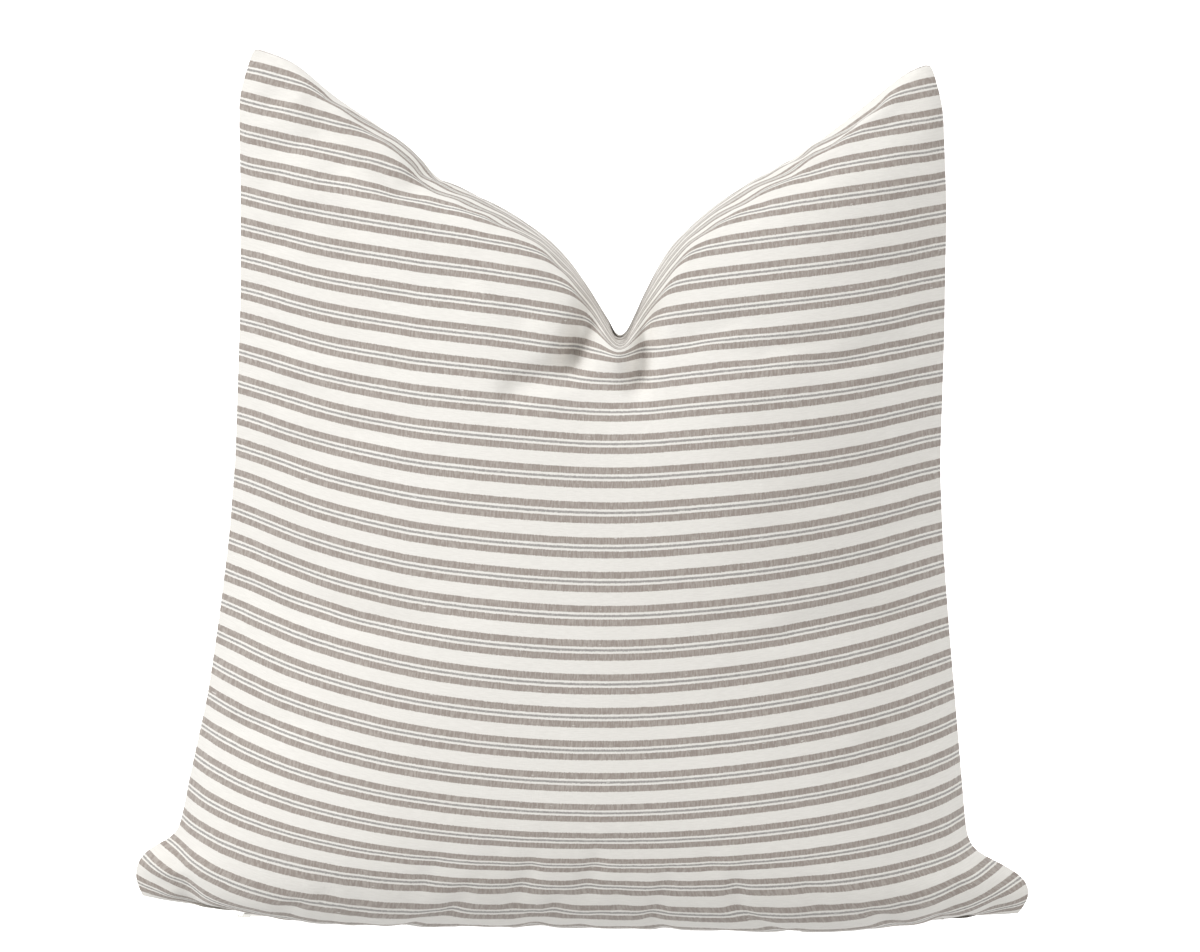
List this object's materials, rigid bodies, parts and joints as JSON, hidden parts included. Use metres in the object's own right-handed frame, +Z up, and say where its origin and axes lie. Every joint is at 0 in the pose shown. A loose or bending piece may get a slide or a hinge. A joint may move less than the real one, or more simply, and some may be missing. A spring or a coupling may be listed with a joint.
{
  "type": "throw pillow",
  "caption": "Square striped throw pillow with a zipped woven cover and a feather insert, standing on its bottom seam with its top pressed into a deep V.",
  "frame": {"origin": "on the floor, under the middle of the standing pillow", "axes": "+X to the right along the bottom seam, +Y to the back of the pillow, +Z up; the pillow's front faces -Y"},
  "size_m": [0.498, 0.196, 0.478],
  "materials": {
    "ticking": "matte woven cotton, grey-brown stripes on off-white",
    "thread": "matte thread",
    "zip_tape": "matte woven tape",
    "zip_coil": "satin nylon coil",
    "zip_metal": "satin nickel",
    "casing": "matte downproof cotton",
    "fill": "loose feather and down",
    "label": "plain satin tape"
  },
  "bodies": {
    "cover": {"front_panel": "ticking", "back_panel": "ticking", "zip_tape_front": "zip_tape", "zip_tape_back": "zip_tape", "zip_coil_front": "zip_coil", "zip_coil_back": "zip_coil", "zip_stitching_front": "thread", "zip_stitching_back": "thread", "zip_bottom_stop": "zip_metal", "zip_top_stops": "zip_metal", "bar_tacks": "thread", "casing_front": "casing", "casing_back": "casing", "insert_piping": "casing", "feather_fill": "fill", "care_label": "label", "insert_label": "label"},
    "slider": {"zip_slider": "zip_metal"},
    "pull": {"zip_pull": "zip_metal"}
  },
  "joints": [
    {"name": "zip_slide", "type": "slide", "parent": "cover", "child": "slider", "axis": [1, 0, 0], "range_m": [0, 0.374]},
    {"name": "pull_hinge", "type": "hinge", "parent": "slider", "child": "pull", "pos_m": [-0.187, 0, 0.00255], "axis": [0, 1, 0], "range_deg": [0, 180]}
  ]
}
